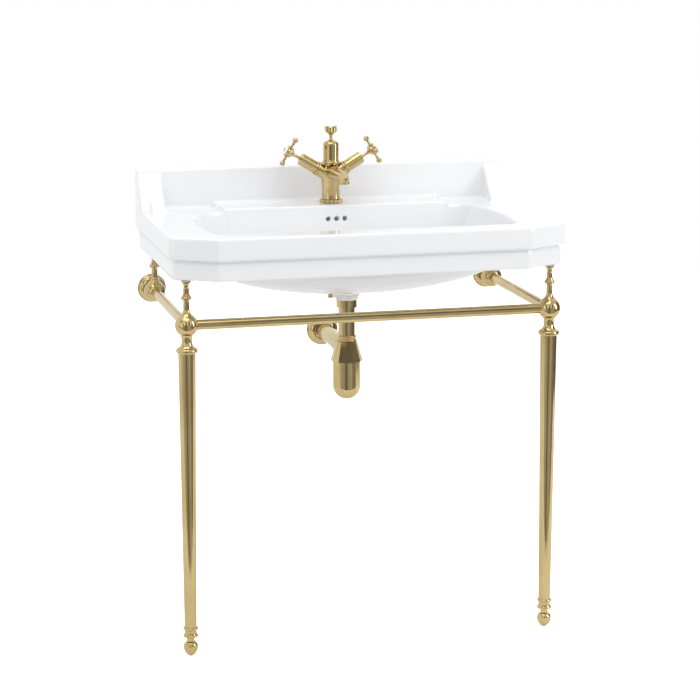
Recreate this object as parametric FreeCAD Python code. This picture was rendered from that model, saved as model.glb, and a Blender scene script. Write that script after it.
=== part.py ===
import FreeCAD, Part
import math
import os

# Console basin on a turned brass stand, with a monobloc mixer tap, a pop-up waste and a bottle trap.
# Millimetres. X runs to the right, Y runs back to the wall, Z is up. The origin is on the floor,
# below the middle of the basin: the wall plane is at y = basin_depth / 2.

# --- basin ---
basin_width = 800.0
basin_depth = 470.0
rim_height = 840.0
upper_band_height = 45.0
lower_band_height = 40.0
band_step = 7.0
cant_width = 86.0
cant_depth = 50.0
band_corner_round = 9.0
rim_round = 4.0
band_edge_round = 3.0
upstand_height = 80.0
upstand_thickness = 30.0
upstand_lean = 5.0
wing_width = 50.0
wing_reach = 85.0
wing_top_reach = 25.0
upstand_round = 3.0
ledge_width = 480.0
ledge_height = 8.0
ledge_reach = 135.0
ledge_round = 3.0
ledge_corner_round = 14.0
ledge_foot_round = 16.0
apron_thickness = 14.0
back_wall_thickness = 16.0
deck_thickness = 16.0
bowl_width = 650.0
bowl_front_rim = 55.0
bowl_back_rim = 105.0
bowl_side_bow = 13.0
bowl_front_corner = 28.0
bowl_back_corner = 50.0
bowl_depth = 128.0
bowl_draft = 12.0
bowl_corner_growth = 60.0
bowl_floor_turn = 72.0
bowl_wall = 12.0
bowl_rim_round = 5.0
drain_thickness = 35.0
drain_boss_drop = 7.0
drain_boss_diameter = 62.0
drain_hole_diameter = 44.0
drain_from_ledge = 85.0
support_block_radius = 26.0
wall_bolt_spacing = 280.0
wall_bolt_hole = 14.0
wall_bolt_drop = 45.0
overflow_hole = 10.0
overflow_pitch = 17.5
overflow_drop = 20.0
overflow_duct_width = 52.0
overflow_duct_depth = 10.0
overflow_wall = 6.0

# --- stand ---
leg_spacing = 736.0
front_leg_inset = 49.0
rear_ball_from_wall = 40.0
ball_drop = 88.0
ball_radius = 22.5
ball_neck_radius = 6.0
ball_neck_height = 38.0
lower_neck_radius = 10.2
collar_radius = 20.8
collar_seat_drop = 55.0
rail_diameter = 20.0
rail_wall = 1.5
rail_socket_gap = 10.5
rail_fit = 0.05
leg_top_radius = 17.0
leg_bottom_radius = 12.0
leg_wall = 2.0
spigot_clearance = 0.5
spigot_length = 25.0
pad_thickness = 1.5
pad_radius = 9.0
finial_top_radius = 9.5
finial_bead_radius = 10.6
finial_bead_drop = 33.0
finial_stud_radius = 4.0
finial_stud_length = 14.0
ferrule_height = 20.0
ferrule_ring_radius = 15.0
ferrule_ring_height = 5.0
foot_radius = 14.3
foot_height = 31.0
foot_neck_radius = 7.5
foot_gap = 9.0
foot_stem_radius = 5.0
foot_stem_length = 30.0
flange_plate_radius = 24.0
flange_plate_thickness = 4.0
flange_boss_radius = 14.0
flange_boss_length = 5.0
flange_screw_circle = 40.0
flange_screw_hole = 5.5
flange_screw_count = 3
cover_radius = 30.0
cover_depth = 12.5
cover_wall = 1.5
cover_gap = 0.4

# --- tap ---
tap_from_wall = 85.0
tap_hole = 35.0
tap_seal_thickness = 1.0
tap_ring_height = 6.0
tap_ring_radius = 21.6
tap_ring_lobes = 16
tap_ring_lobe_bulge = 2.5
tap_foot_radius = 19.2
tap_waist_radius = 18.6
tap_shoulder_radius = 20.6
valve_centre_height = 54.0
tap_top_height = 82.0
tap_top_radius = 14.0
valve_tilt = 31.0
valve_arm_length = 36.0
valve_arm_radius = 14.0
valve_bead_radius = 15.2
bonnet_length = 40.0
bonnet_radius = 12.6
bonnet_spigot_radius = 10.0
bonnet_spigot_length = 10.0
bonnet_bore_radius = 8.6
bonnet_end_wall = 6.0
spindle_radius = 3.6
spindle_flange_radius = 8.2
running_fit = 0.08
body_gap = 0.3
hub_gap = 22.0
hub_length = 13.5
hub_radius = 11.6
cross_reach = 27.3
cross_ball_radius = 5.6
cross_arm_radius = 2.4
cross_arm_tip_radius = 2.9
index_disc_radius = 9.4
index_disc_height = 3.4
spout_reach = 124.0
spout_height = 63.5
spout_root_width = 31.0
spout_root_height = 28.5
spout_tip_width = 23.5
spout_tip_height = 22.0
spout_rise = 1.5
nozzle_radius = 10.6
nozzle_drop = 11.5
aerator_radius = 8.5
aerator_depth = 6.0
dome_height = 48.0
dome_radius = 16.2
dome_collar_radius = 18.6
dome_collar_height = 6.0
dome_neck_radius = 5.6
shank_radius = 16.0
shank_length = 48.0
shank_socket = 12.0
inlet_thread_radius = 4.25
inlet_offset = 10.0
inlet_depth = 15.0
tap_washer_radius = 24.0
tap_rubber_thickness = 2.5
tap_nut_flats = 42.0
tap_nut_height = 9.0

# --- pop-up linkage and waste ---
lift_travel = 18.0
lift_rod_radius = 2.5
lift_stem_height = 12.5
knob_radius = 12.8
knob_height = 17.0
knob_lobes = 8
knob_lobe_bulge = 1.7
knob_disc_radius = 9.6
knob_disc_height = 2.2
lever_radius = 2.25
lever_ball_radius = 4.5
lever_tail = 16.0
pivot_reach = 29.0
pivot_drop = 52.5
port_radius = 6.6
port_length = 12.0
pivot_nut_radius = 8.6
pivot_nut_length = 10.0
pivot_nut_cap = 2.0
lever_opening_radius = 3.7
strap_width = 11.0
strap_thickness = 2.0
strap_gap = 0.6
strap_hole_radius = 3.0
strap_margin = 7.0
strap_length = 70.0
clamp_radius = 7.0
clamp_height = 12.0
thumb_screw_radius = 3.0
waste_flange_radius = 31.5
waste_flange_thickness = 3.0
waste_seal_thickness = 1.0
waste_mouth_radius = 21.0
waste_tube_radius = 19.0
waste_tube_wall = 1.9
waste_slot_width = 14.0
gasket_height = 11.0
gasket_top_radius = 27.0
gasket_bottom_radius = 22.5
port_nut_radius = 21.2
port_nut_height = 16.0
port_nut_lip = 3.5
thread_fit = 0.05
plug_radius = 21.0
plug_lift = 5.0
plug_seal_radius = 16.6
plug_seal_thickness = 2.8
plug_stem_radius = 3.0
plug_eye_radius = 6.5
plug_eye_hole = 3.2
plug_eye_thickness = 3.0

# --- trap ---
inlet_tube_radius = 17.0
tube_wall = 1.8
inlet_tube_length = 148.0
trap_drop = 71.0
trap_nut_height = 12.0
trap_nut_radius = 20.4
trap_cone_height = 41.0
trap_cone_top_radius = 21.5
trap_cone_bottom_radius = 33.0
trap_cone_facets = 12
trap_chamber_radius = 23.0
trap_roof = 6.0
bottle_radius = 28.3
bottle_straight = 53.0
bottle_overlap = 8.0
bottle_wall = 2.0
seal_thickness = 2.0
outlet_drop = 18.0
outlet_pipe_radius = 17.0
branch_root_radius = 21.0
branch_end_radius = 19.0
branch_reach = 58.0
branch_overlap = 12.0
branch_passage_radius = 16.2
rosette_radius = 34.0
rosette_depth = 13.0
rosette_wall = 1.5

# --- values that follow from the sizes above ---
wall_y = basin_depth / 2
front_y = -basin_depth / 2
half_width = basin_width / 2
step_height = rim_height - upper_band_height
apron_bottom = step_height - lower_band_height
upstand_top = rim_height + upstand_height
deck_bottom = rim_height - deck_thickness
ledge_top = rim_height + ledge_height
ledge_front = wall_y - ledge_reach
drain_y = ledge_front - drain_from_ledge
tap_y = wall_y - tap_from_wall
bowl_back = wall_y - bowl_back_rim
bowl_front = front_y + bowl_front_rim
bowl_floor = rim_height - bowl_depth
drain_bottom = bowl_floor - drain_thickness
leg_x = leg_spacing / 2
front_leg_y = front_y + front_leg_inset
ball_centre_height = apron_bottom - ball_drop
rear_ball_y = wall_y - rear_ball_from_wall
collar_seat = ball_centre_height - collar_seat_drop
joint_top = ball_centre_height + ball_neck_height
foot_seat = foot_height + foot_gap
leg_bottom = foot_seat + ferrule_height
tap_body_base = ledge_top + tap_seal_thickness + tap_ring_height
valve_centre = FreeCAD.Vector(0, tap_y, ledge_top + valve_centre_height)
tap_top = ledge_top + tap_top_height
shank_bottom = ledge_top - shank_length
dome_top = tap_top + dome_height
knob_bottom = dome_top + lift_stem_height
pivot_y = drain_y + pivot_reach
pivot_z = bowl_floor - pivot_drop
lever_span = tap_y - pivot_y
lever_swing = math.degrees(2 * math.atan(lift_travel / 2 / lever_span))
waste_bore_radius = waste_tube_radius - waste_tube_wall
port_nut_top = drain_bottom - gasket_height
port_nut_bottom = port_nut_top - port_nut_height
trap_top_height = port_nut_bottom - trap_drop
trap_cone_bottom = trap_top_height - trap_cone_height
outlet_height = trap_top_height - outlet_drop
SIDES = (("left", -1), ("right", 1))
UP = FreeCAD.Vector(0, 0, 1)
BACK = FreeCAD.Vector(0, 1, 0)


def vec(x, y, z):
    return FreeCAD.Vector(x, y, z)


# --- general forms ---
def profile_edges(points):
    """Edges in the XZ plane through (radius, height) points; four numbers are an arc by the first pair."""
    edges = []
    here = points[0]
    for step in points[1:]:
        start = vec(here[0], 0, here[1])
        end = vec(step[-2], 0, step[-1])
        if len(step) == 4:
            edges.append(Part.Arc(start, vec(step[0], 0, step[1]), end).toShape())
        else:
            edges.append(Part.makeLine(start, end))
        here = step[-2:]
    return edges


def cap_middle(radius, edge, apex):
    """Middle point of the arc that makes a round cap: from its edge at one height to its apex on the axis."""
    rise = apex - edge
    sphere = (radius ** 2 + rise ** 2) / (2 * abs(rise))
    half = math.atan2(radius, sphere - abs(rise)) / 2
    sign = 1 if rise > 0 else -1
    return (sphere * math.sin(half), apex - sign * sphere * (1 - math.cos(half)))


def turned(points, at=None, along=UP):
    """A turned piece: the profile closes to the axis, and the axis then lies along the given direction."""
    closed = [(0, points[0][1])] + list(points) if points[0][0] > 0 else list(points)
    if closed[-1][-2] > 0:
        closed.append((0, closed[-1][-1]))
    edges = profile_edges(closed)
    edges.append(Part.makeLine(vec(0, 0, closed[-1][-1]), vec(0, 0, closed[0][1])))
    solid = Part.Face(Part.Wire(edges)).revolve(vec(0, 0, 0), UP, 360)
    return placed(solid, at, along)


def placed(shape, at=None, along=UP):
    """Moves a piece made on the origin's Z axis to a place and a direction."""
    moved = shape.copy()
    moved.Placement = FreeCAD.Placement(at or vec(0, 0, 0), FreeCAD.Rotation(UP, along))
    return moved


def rod(radius, start, end):
    run = end - start
    return Part.makeCylinder(radius, run.Length, start, run)


def tube(radius, wall, start, end):
    return rod(radius, start, end).cut(rod(radius - wall, start, end))


def ring(outer, inner, low, high, x=0.0, y=0.0):
    return tube(outer, outer - inner, vec(x, y, low), vec(x, y, high))


def prism(points, low, high):
    """An upright prism over a plan of (x, y) points."""
    corners = [vec(x, y, low) for x, y in points]
    face = Part.Face(Part.makePolygon(corners + corners[:1]))
    return face.extrude(vec(0, 0, high - low))


def side_prism(points, x_low, x_high):
    """A prism along X over a side view of (y, z) points."""
    corners = [vec(x_low, y, z) for y, z in points]
    face = Part.Face(Part.makePolygon(corners + corners[:1]))
    return face.extrude(vec(x_high - x_low, 0, 0))


def block(x0, x1, y0, y1, z0, z1):
    return Part.makeBox(x1 - x0, y1 - y0, z1 - z0, vec(x0, y0, z0))


def scalloped_disc(radius, bulge, lobes, height):
    """A disc whose rim is a row of equal outward lobes."""
    edges = []
    step = 2 * math.pi / lobes
    for i in range(lobes):
        points = []
        for turn, reach in ((i, radius), (i + 0.5, radius + bulge), (i + 1, radius)):
            points.append(vec(reach * math.cos(turn * step), reach * math.sin(turn * step), 0))
        edges.append(Part.Arc(*points).toShape())
    return Part.Face(Part.Wire(edges)).extrude(vec(0, 0, height))


def edges_where(shape, test):
    return [edge for edge in shape.Edges if all(test(vertex.Point) for vertex in edge.Vertexes)]


def save(name, *solids):
    """Writes one node, as its only solid or as a group of separate ones."""
    found = [solid for shape in solids for solid in shape.Solids]
    shape = found[0] if len(found) == 1 else Part.makeCompound(found)
    if not shape.isValid():
        raise ValueError(name + " is not a valid solid")
    shape.exportStep("parts/" + name + ".step")


# --- basin ---
def canted_plan(inset, back):
    """Plan of the basin with both front corners cut off, every front and side face set in alike."""
    slant = math.hypot(cant_width, cant_depth)
    reach = cant_depth * half_width - cant_width * (front_y + cant_depth) - inset * slant
    side_x = half_width - inset
    front = front_y + inset
    cant_side_y = (cant_depth * side_x - reach) / cant_width
    cant_front_x = (reach + cant_width * front) / cant_depth
    right = [(side_x, back), (side_x, cant_side_y), (cant_front_x, front)]
    left = [(-x, y) for x, y in reversed(right)]
    return right + left


def band(inset, low, high, corner_round):
    solid = prism(canted_plan(inset, wall_y), low, high)
    upright = []
    for edge in solid.Edges:
        ends = [vertex.Point for vertex in edge.Vertexes]
        if abs(ends[0].z - ends[1].z) > 1 and ends[0].y < 0:
            upright.append(edge)
    return solid.makeFillet(corner_round, upright)


def bowl_outline(inset, depth, corner_trim=0.0):
    """Outline of the bowl: straight front and back, sides that bow outwards, four tangent corner arcs."""
    z = rim_height - depth
    front = bowl_front + inset
    back = bowl_back - inset
    middle = (front + back) / 2
    half_length = (back - front) / 2
    half = bowl_width / 2 - inset
    side_radius = (half_length ** 2 + bowl_side_bow ** 2) / (2 * bowl_side_bow)
    side_x = half - side_radius
    corners = []
    for y_edge, inward, radius in (
        (front, 1, bowl_front_corner + corner_trim),
        (back, -1, bowl_back_corner + corner_trim),
    ):
        centre_y = y_edge + inward * radius
        centre_x = side_x + math.sqrt((side_radius - radius) ** 2 - (centre_y - middle) ** 2)
        out = math.atan2(centre_y - middle, centre_x - side_x)
        on_side = (side_x + side_radius * math.cos(out), middle + side_radius * math.sin(out))
        bisector = (out + math.atan2(-inward, 0)) / 2
        between = (centre_x + radius * math.cos(bisector), centre_y + radius * math.sin(bisector))
        corners.append(((centre_x, y_edge), between, on_side))
    (front_end, front_mid, front_side), (back_end, back_mid, back_side) = corners

    def point(pair, side=1):
        return vec(side * pair[0], pair[1], z)

    edges = [
        Part.Arc(point(front_end), point(front_mid), point(front_side)).toShape(),
        Part.Arc(point(front_side), vec(half, middle, z), point(back_side)).toShape(),
        Part.Arc(point(back_side), point(back_mid), point(back_end)).toShape(),
        Part.makeLine(point(back_end), point(back_end, -1)),
        Part.Arc(point(back_end, -1), point(back_mid, -1), point(back_side, -1)).toShape(),
        Part.Arc(point(back_side, -1), vec(-half, middle, z), point(front_side, -1)).toShape(),
        Part.Arc(point(front_side, -1), point(front_mid, -1), point(front_end, -1)).toShape(),
        Part.makeLine(point(front_end, -1), point(front_end)),
    ]
    return Part.Wire(edges)


def bowl_form(wall, floor_depth):
    """The bowl's inside with no wall, or its underside with one: drafted sides and a level floor."""
    mouth = bowl_outline(-wall, 0, wall)
    floor = bowl_outline(bowl_draft - wall, floor_depth, bowl_corner_growth + wall)
    body = Part.makeLoft([mouth, floor], True, True)
    floor_level = rim_height - floor_depth
    return body.makeFillet(bowl_floor_turn + wall, edges_where(body, lambda p: p.z < floor_level + 0.01))


def bowl_inside():
    """The hollow of the bowl, cut back round the tap ledge with softened corners."""
    tap_ledge = block(-ledge_width / 2, ledge_width / 2, ledge_front, wall_y, bowl_floor - 1.0, upstand_top)
    inside = bowl_form(0, bowl_depth).cut(tap_ledge)
    uprights = []
    for edge in inside.Edges:
        centre = edge.CenterOfMass
        if abs(abs(centre.x) - ledge_width / 2) < 0.01 and abs(centre.y - ledge_front) < 0.01:
            uprights.append(edge)
    inside = inside.makeFillet(ledge_corner_round, uprights)
    feet = []
    for edge in inside.Edges:
        centre = edge.CenterOfMass
        beside = abs(centre.x) < ledge_width / 2 + 6 and ledge_front - 2 < centre.y < bowl_back - 2
        level = abs(edge.tangentAt(edge.FirstParameter).z) < 0.99
        if beside and level and centre.z < bowl_floor + 50 and edge.Length > 5:
            feet.append(edge)
    return inside.makeFillet(ledge_foot_round, feet)


def overflow_channel():
    """Solid and hollow of the overflow passage, from behind the back wall down to the drain."""
    outer_y = ledge_front + bowl_wall - overflow_wall + overflow_duct_depth
    duct_front = outer_y - overflow_duct_depth
    bend = bowl_floor + 8.0
    half = overflow_duct_width / 2
    under = drain_bottom + overflow_wall + 1.5
    casing = side_prism(
        [
            (ledge_front, deck_bottom),
            (outer_y + overflow_wall, deck_bottom),
            (outer_y + overflow_wall, bend - 2.5 * overflow_wall),
            (drain_y + pivot_reach, drain_bottom + 1.0),
            (drain_y, drain_bottom + 1.0),
            (drain_y, bowl_floor - overflow_wall),
            (ledge_front, bend),
        ],
        -half - overflow_wall,
        half + overflow_wall,
    )
    hollow = side_prism(
        [
            (duct_front, rim_height - overflow_drop + overflow_hole),
            (outer_y, rim_height - overflow_drop + overflow_hole),
            (outer_y, bend - overflow_wall),
            (drain_y + drain_hole_diameter / 2, under),
            (drain_y, under),
            (drain_y, under + overflow_duct_depth),
            (duct_front, bend + 4.0),
        ],
        -half,
        half,
    )
    return casing, hollow


def clear_of_wall(edges):
    return [edge for edge in edges if edge.CenterOfMass.y < wall_y - 0.01]


def banded_body():
    """The two moulded bands of the apron, filled solid, with their top and bottom edges rounded."""
    upper = band(0, step_height, rim_height, band_corner_round)
    top_edges = edges_where(upper, lambda p: p.z > rim_height - 0.01)
    upper = upper.makeFillet(rim_round, clear_of_wall(top_edges))
    lower = band(band_step, apron_bottom, step_height + rim_round, band_corner_round)
    low_edges = edges_where(lower, lambda p: p.z < apron_bottom + 0.01)
    lower = lower.makeFillet(band_edge_round, clear_of_wall(low_edges))
    return upper.fuse(lower)


def upstand():
    """Splash-back along the wall, with the sloping wing at each end."""
    skirt = rim_height - rim_round - 2.0
    foot_line = wall_y - upstand_thickness - upstand_lean
    face = [
        (wall_y, skirt),
        (wall_y, upstand_top),
        (wall_y - upstand_thickness, upstand_top),
        (foot_line, rim_height),
        (foot_line, skirt),
    ]
    wing = [
        (wall_y, skirt),
        (wall_y, upstand_top),
        (wall_y - wing_top_reach, upstand_top),
        (wall_y - wing_reach, rim_height),
        (wall_y - wing_reach, skirt),
    ]
    body = side_prism(face, -half_width, half_width)
    body = body.fuse([
        side_prism(wing, -half_width, wing_width - half_width),
        side_prism(wing, half_width - wing_width, half_width),
    ]).removeSplitter()
    crest = edges_where(body, lambda p: p.z > rim_height - 0.01 and p.y < wall_y - 0.01)
    return body.makeFillet(upstand_round, crest)


def tap_ledge():
    """Raised platform for the tap, as high as its own small step above the deck."""
    ledge = block(-ledge_width / 2, ledge_width / 2, ledge_front, wall_y, rim_height, ledge_top)
    corners = edges_where(ledge, lambda p: p.y < ledge_front + 0.01)
    ledge = ledge.makeFillet(ledge_corner_round, [edge for edge in corners if abs(edge.CenterOfMass.x) > 1])
    top_edges = edges_where(ledge, lambda p: p.z > ledge_top - 0.01)
    return ledge.makeFillet(ledge_round, clear_of_wall(top_edges))


def basin():
    """One ceramic shell: bands, bowl, splash-back, tap ledge, overflow passage and every hole."""
    casing, duct = overflow_channel()
    underside = bowl_form(bowl_wall, bowl_depth + drain_thickness - drain_boss_drop)
    tap_bay = block(
        bowl_wall - ledge_width / 2,
        ledge_width / 2 - bowl_wall,
        ledge_front + bowl_wall,
        wall_y,
        drain_bottom,
        deck_bottom,
    )
    underside = underside.cut(tap_bay).fuse(casing)
    boss = ring(drain_boss_diameter / 2, 1.0, drain_bottom, bowl_floor, 0, drain_y)
    inner_plan = canted_plan(band_step + apron_thickness, wall_y - back_wall_thickness)
    hollow = prism(inner_plan, apron_bottom, deck_bottom).cut(underside)
    for x in (-leg_x, leg_x):
        for y in (front_leg_y, rear_ball_y):
            hollow = hollow.cut(rod(support_block_radius, vec(x, y, apron_bottom), vec(x, y, deck_bottom)))
    body = banded_body().cut(hollow).fuse([underside, boss])
    body = body.cut(bowl_inside()).removeSplitter()
    rim = []
    for edge in body.Edges:
        ends = [vertex.Point for vertex in edge.Vertexes]
        inside = all(abs(p.x) < bowl_width / 2 + 1 and bowl_front - 1 < p.y < bowl_back + 1 for p in ends)
        beside_ledge = all(abs(p.x) < ledge_width / 2 + 1 and p.y > ledge_front - 1 for p in ends)
        if inside and not beside_ledge and all(abs(p.z - rim_height) < 0.01 for p in ends):
            rim.append(edge)
    body = body.makeFillet(bowl_rim_round, rim)
    body = body.fuse([upstand(), tap_ledge()])
    recess = waste_flange_thickness + waste_seal_thickness
    recess_radius = waste_flange_radius + 1.5
    cuts = [
        duct,
        rod(drain_hole_diameter / 2, vec(0, drain_y, drain_bottom - 1), vec(0, drain_y, bowl_floor + 1)),
        rod(recess_radius, vec(0, drain_y, bowl_floor - recess), vec(0, drain_y, bowl_floor + 2)),
        rod(tap_hole / 2, vec(0, tap_y, deck_bottom - 1), vec(0, tap_y, ledge_top + 1)),
    ]
    for i in (-1, 0, 1):
        hole = vec(i * overflow_pitch, ledge_front - 1, rim_height - overflow_drop)
        cuts.append(rod(overflow_hole / 2, hole, hole + vec(0, bowl_wall, 0)))
        if i:
            bolt = vec(i * wall_bolt_spacing / 2, wall_y + 1, rim_height - wall_bolt_drop)
            cuts.append(rod(wall_bolt_hole / 2, bolt, bolt - BACK * (back_wall_thickness + 2)))
    return body.cut(cuts).removeSplitter()


def support_pads():
    pads = []
    for x in (-leg_x, leg_x):
        for y in (front_leg_y, rear_ball_y):
            pads.append(rod(pad_radius, vec(x, y, apron_bottom - pad_thickness), vec(x, y, apron_bottom)))
    return pads


# --- stand ---
def upper_joint_profile():
    """Ball with its concave shoulder up to the finial, from the top down to the ball's widest line."""
    centre = ball_centre_height
    shoulder_r = ball_radius * 0.62
    shoulder_z = centre + ball_radius * 0.785
    return [
        (ball_neck_radius, joint_top),
        (ball_neck_radius, joint_top - 8.0),
        (ball_neck_radius * 1.35, centre + ball_radius * 1.08, shoulder_r, shoulder_z),
        (ball_radius * 0.9, centre + ball_radius * 0.436, ball_radius, centre),
    ]


def socket_bores(x, y, directions):
    centre = vec(x, y, ball_centre_height)
    radius = rail_diameter / 2 + rail_fit
    return [rod(radius, centre + way * rail_socket_gap, centre + way * ball_radius * 2) for way in directions]


def finial_socket(x, y):
    low = vec(x, y, joint_top - finial_stud_length - 1.0)
    return rod(finial_stud_radius + thread_fit, low, vec(x, y, joint_top + 1.0))


def front_joint(side):
    x = side * leg_x
    centre = ball_centre_height
    lower_neck = centre - 29.0
    collar_mid = centre - 47.5
    profile = upper_joint_profile() + [
        (ball_radius * 0.87, centre - ball_radius * 0.5, ball_radius * 0.56, centre - ball_radius * 0.83),
        (lower_neck_radius * 1.04, centre - 24.0, lower_neck_radius, lower_neck),
        (lower_neck_radius * 1.13, centre - 38.0, collar_radius * 0.78, centre - 44.0),
        (collar_radius, collar_mid, collar_radius * 0.82, collar_seat),
        (leg_top_radius - leg_wall - spigot_clearance, collar_seat),
        (leg_top_radius - leg_wall - spigot_clearance, collar_seat - spigot_length),
    ]
    body = turned(profile, vec(x, front_leg_y, 0))
    return body.cut(socket_bores(x, front_leg_y, (vec(-side, 0, 0), BACK)) + [finial_socket(x, front_leg_y)])


def rear_joint(side):
    """Ball at the wall, closed below, with a plain spigot that goes back into the wall plate."""
    x = side * leg_x
    centre = ball_centre_height
    bottom = centre - ball_radius
    profile = upper_joint_profile() + [(*cap_middle(ball_radius, centre, bottom), 0, bottom)]
    body = turned(profile, vec(x, rear_ball_y, 0))
    start = vec(x, rear_ball_y + rail_socket_gap, centre)
    spigot = rod(rail_diameter / 2, start, vec(x, wall_y - flange_plate_thickness, centre))
    body = body.fuse(spigot)
    return body.cut(socket_bores(x, rear_ball_y, (-BACK,)) + [finial_socket(x, rear_ball_y)])


def finial(x, y):
    """Turned stem that carries the basin: flared head, waist, bead and a threaded stud into the ball."""
    top = apron_bottom - pad_thickness
    bead = top - finial_bead_drop
    waist = ball_neck_radius * 0.95
    return turned(
        [
            (finial_top_radius, top),
            (finial_top_radius, top - 2.0),
            (waist, top - 7.0, waist, top - 15.0),
            (waist, bead + 9.0),
            (finial_bead_radius * 0.72, bead + 5.5, finial_bead_radius * 0.8, bead + 3.2),
            (finial_bead_radius, bead, finial_bead_radius * 0.8, bead - 3.2),
            (waist + 0.5, bead - 5.0, waist, bead - 8.0),
            (ball_neck_radius, joint_top),
            (finial_stud_radius, joint_top),
            (finial_stud_radius, joint_top - finial_stud_length),
        ],
        vec(x, y, 0),
    )


def leg(side):
    """Tapered round tube from under the joint's collar down to the ferrule."""
    at = vec(side * leg_x, front_leg_y, 0)
    skins = []
    for wall in (0, leg_wall):
        ends = [(leg_top_radius - wall, collar_seat), (leg_bottom_radius - wall, leg_bottom)]
        skins.append(turned(ends, at))
    return skins[0].cut(skins[1])


def leg_ferrule(side):
    """Turned collar under the leg: two rings with a hollow between them, and a spigot up into the leg."""
    low = foot_seat
    waist = leg_bottom_radius + 0.3
    ring_mid = ferrule_ring_height / 2
    spigot = leg_bottom_radius - leg_wall - spigot_clearance
    upper_ring = leg_bottom - ferrule_ring_height
    lower_ring = low + ferrule_ring_height
    profile = [
        (spigot, leg_bottom + spigot_length),
        (spigot, leg_bottom),
        (leg_bottom_radius + 0.8, leg_bottom),
        (ferrule_ring_radius, leg_bottom - ring_mid, leg_bottom_radius + 1.0, upper_ring),
        (waist - 0.6, (upper_ring + lower_ring) / 2, leg_bottom_radius + 1.0, lower_ring),
        (ferrule_ring_radius, lower_ring - ring_mid, leg_bottom_radius - 1.0, low),
    ]
    x = side * leg_x
    body = turned(profile, vec(x, front_leg_y, 0))
    top = leg_bottom + spigot_length + 1
    bore = rod(foot_stem_radius + running_fit, vec(x, front_leg_y, low - 1), vec(x, front_leg_y, top))
    pocket = rod(foot_neck_radius + body_gap * 2, vec(x, front_leg_y, low - 1), vec(x, front_leg_y, low + 9))
    return body.cut([bore, pocket])


def foot(side):
    """Acorn foot with its plain neck and the stem that screws up into the ferrule."""
    neck_top = foot_seat + 2.0
    widest = foot_height * 0.66
    tip = foot_radius * 0.28
    return turned(
        [
            (foot_stem_radius, neck_top + foot_stem_length),
            (foot_stem_radius, neck_top),
            (foot_neck_radius, neck_top),
            (foot_neck_radius, foot_height),
            (foot_radius * 0.86, foot_height * 0.87, foot_radius, widest),
            (foot_radius * 0.8, foot_height * 0.29, tip, foot_height * 0.035),
            (*cap_middle(tip, foot_height * 0.035, 0), 0, 0),
        ],
        vec(side * leg_x, front_leg_y, 0),
    )


def front_rail():
    end = leg_x - rail_socket_gap
    return tube(
        rail_diameter / 2,
        rail_wall,
        vec(-end, front_leg_y, ball_centre_height),
        vec(end, front_leg_y, ball_centre_height),
    )


def side_rail(side):
    x = side * leg_x
    return tube(
        rail_diameter / 2,
        rail_wall,
        vec(x, front_leg_y + rail_socket_gap, ball_centre_height),
        vec(x, rear_ball_y - rail_socket_gap, ball_centre_height),
    )


def wall_plate(side):
    """Plate screwed to the wall, with the boss that takes the rear joint's spigot."""
    x = side * leg_x
    z = ball_centre_height
    face = wall_y - flange_plate_thickness
    body = rod(flange_plate_radius, vec(x, face, z), vec(x, wall_y, z))
    body = body.fuse(rod(flange_boss_radius, vec(x, face - flange_boss_length, z), vec(x, face, z)))
    cuts = [rod(rail_diameter / 2 + rail_fit, vec(x, face - flange_boss_length - 1, z), vec(x, face, z))]
    for i in range(flange_screw_count):
        angle = math.pi / 2 + i * 2 * math.pi / flange_screw_count
        hole_x = x + flange_screw_circle / 2 * math.cos(angle)
        hole_z = z + flange_screw_circle / 2 * math.sin(angle)
        hole = vec(hole_x, face - 1, hole_z)
        cuts.append(rod(flange_screw_hole / 2, hole, hole + BACK * (flange_plate_thickness + 2)))
    return body.cut(cuts)


def domed_cover(radius, depth, wall, hole):
    """Domed cover with a rolled edge, made with its open side at height 0 and its crown up."""
    outside = turned(
        [
            (hole + 4.0, depth),
            (radius * 0.72, depth * 0.86, radius * 0.88, depth * 0.4),
            (radius * 0.93, depth * 0.3),
            (radius, depth * 0.14, radius * 0.985, 0),
        ]
    )
    rim = radius * 0.88 - wall * 1.3
    inside = turned(
        [
            (hole + 3.0, depth - wall),
            (radius * 0.72 - wall * 0.6, depth * 0.86 - wall, rim, depth * 0.4 - wall * 0.5),
            (rim, 0),
        ]
    )
    return outside.cut([inside, rod(hole, vec(0, 0, -1), vec(0, 0, depth + 1))])


def wall_cover(side):
    cover = domed_cover(cover_radius, cover_depth, cover_wall, rail_diameter / 2 + cover_gap)
    return placed(cover, vec(side * leg_x, wall_y, ball_centre_height), -BACK)


# --- tap ---
def spout():
    """Spout that runs straight to the front and thins to a rounded nose, lofted through upright ellipses."""
    sections = []
    for share in (0.0, 0.35, 0.7, 0.9, 1.0, 1.05):
        y = tap_y - share * spout_reach
        nose = math.sqrt(max(0.0, 1 - (max(0.0, share - 0.8) / 0.27) ** 2))
        width = (spout_root_width + share * (spout_tip_width - spout_root_width)) * nose / 2
        height = (spout_root_height + share * (spout_tip_height - spout_root_height)) * nose / 2
        z = ledge_top + spout_height + spout_rise * math.sin(math.pi * min(share, 1.0))
        major = vec(width, 0, 0) if width >= height else vec(0, 0, height)
        minor = vec(0, 0, height) if width >= height else vec(width, 0, 0)
        centre = vec(0, y, z)
        ellipse = Part.Ellipse(centre + major, centre + minor, centre)
        sections.append(Part.Wire(ellipse.toShape()))
    return Part.makeLoft(sections, True, False)


def valve_direction(side):
    tilt = math.radians(valve_tilt)
    return vec(side * math.cos(tilt), 0, math.sin(tilt))


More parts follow.
